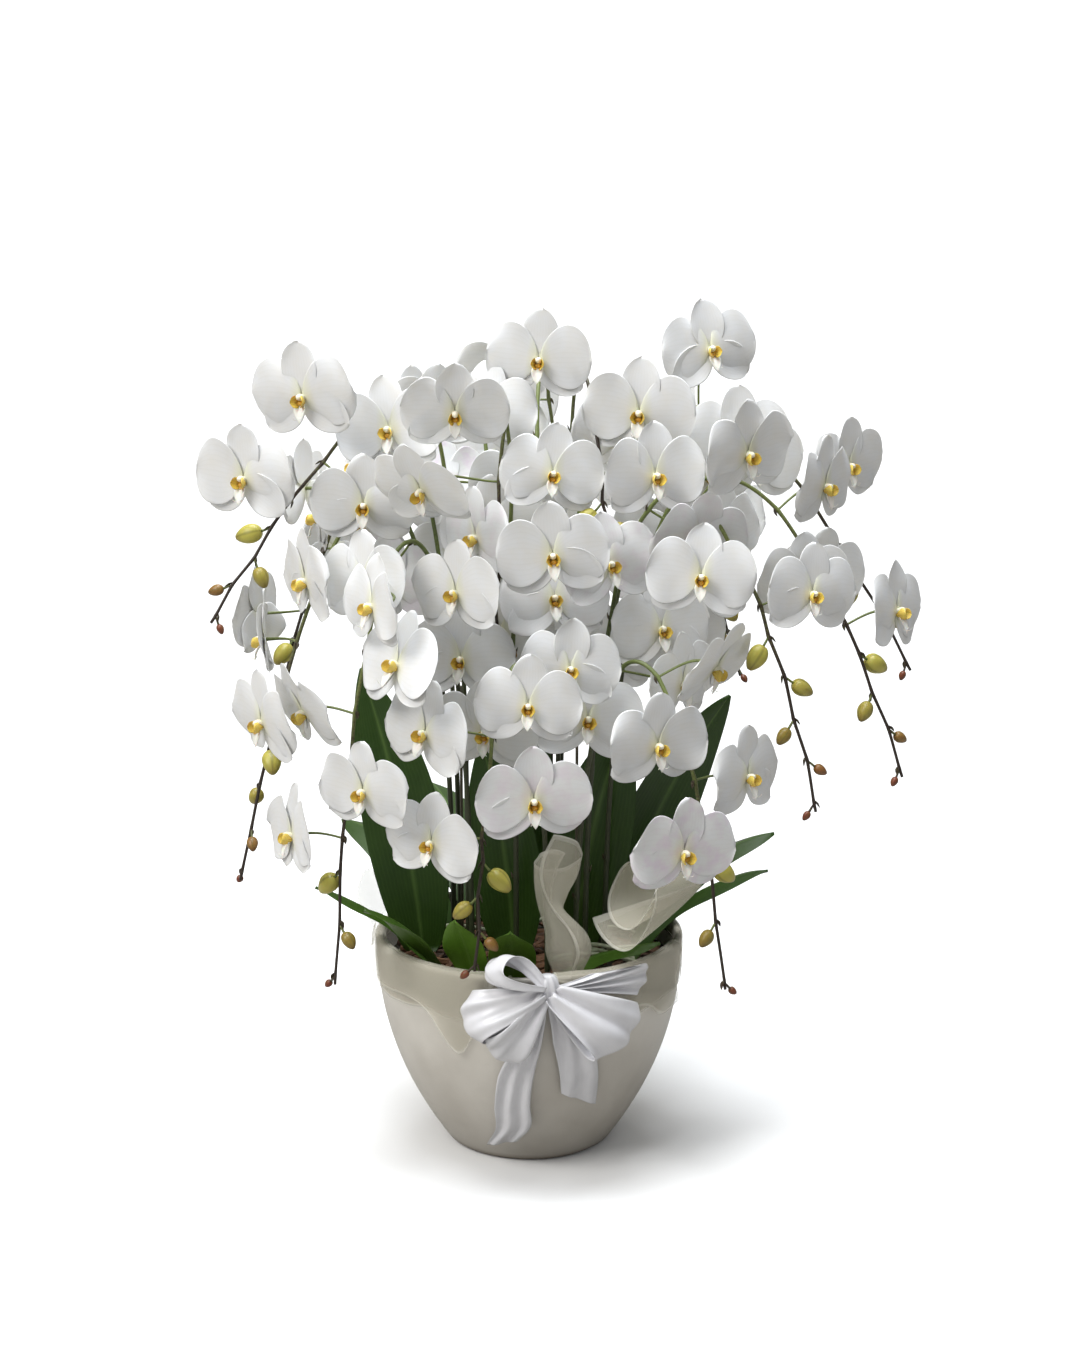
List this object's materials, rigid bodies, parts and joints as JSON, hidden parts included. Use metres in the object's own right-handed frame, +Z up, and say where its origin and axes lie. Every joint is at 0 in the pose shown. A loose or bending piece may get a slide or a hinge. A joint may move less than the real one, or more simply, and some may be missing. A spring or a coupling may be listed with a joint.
{
  "type": "potted orchid",
  "caption": "Arching sprays of white moth orchids over dark leaves in a rounded white pot, with a net wrap folded over the rim and a satin bow at the front.",
  "frame": {"origin": "middle of the pot's base, on the surface it stands on", "axes": "+Z up, the bow and the fullest side of the arrangement towards -Y"},
  "size_m": [0.6896, 0.5162, 0.8292],
  "materials": {
    "white_glaze": "satin white glaze",
    "bark": "rough bark and moss",
    "petal": "matt white petals with yellow lips, on green-brown stems",
    "leaf_green": "waxy dark green",
    "wire": "dull dark coating",
    "net": "translucent cream non-woven net",
    "satin": "satin ribbon"
  },
  "bodies": {
    "root": {"bow_fan": "satin", "bow_knot": "satin", "bow_loop_left": "satin", "bow_loop_right": "satin", "bow_loop_upper": "satin", "bow_tail_left": "satin", "bow_tail_right": "satin", "growing_medium": "bark", "leaf_01": "leaf_green", "leaf_02": "leaf_green", "leaf_03": "leaf_green", "leaf_04": "leaf_green", "leaf_05": "leaf_green", "leaf_06": "leaf_green", "leaf_07": "leaf_green", "leaf_08": "leaf_green", "leaf_09": "leaf_green", "leaf_10": "leaf_green", "leaf_11": "leaf_green", "leaf_12": "leaf_green", "leaf_13": "leaf_green", "leaf_14": "leaf_green", "leaf_15": "leaf_green", "leaf_16": "leaf_green", "net_cornet": "net", "net_curl": "net", "pot": "white_glaze", "spike_01": "petal", "spike_02": "petal", "spike_03": "petal", "spike_04": "petal", "spike_05": "petal", "spike_06": "petal", "spike_07": "petal", "spike_08": "petal", "spike_09": "petal", "spike_10": "petal", "spike_11": "petal", "spike_12": "petal", "spike_13": "petal", "spike_14": "petal", "stake_01": "wire", "stake_02": "wire", "stake_07": "wire", "stake_09": "wire", "stake_11": "wire", "stake_12": "wire", "stake_13": "wire", "wrap_collar": "net", "wrap_flap": "net", "wrap_flare": "net", "wrap_pleats": "net"}
  },
  "joints": []
}
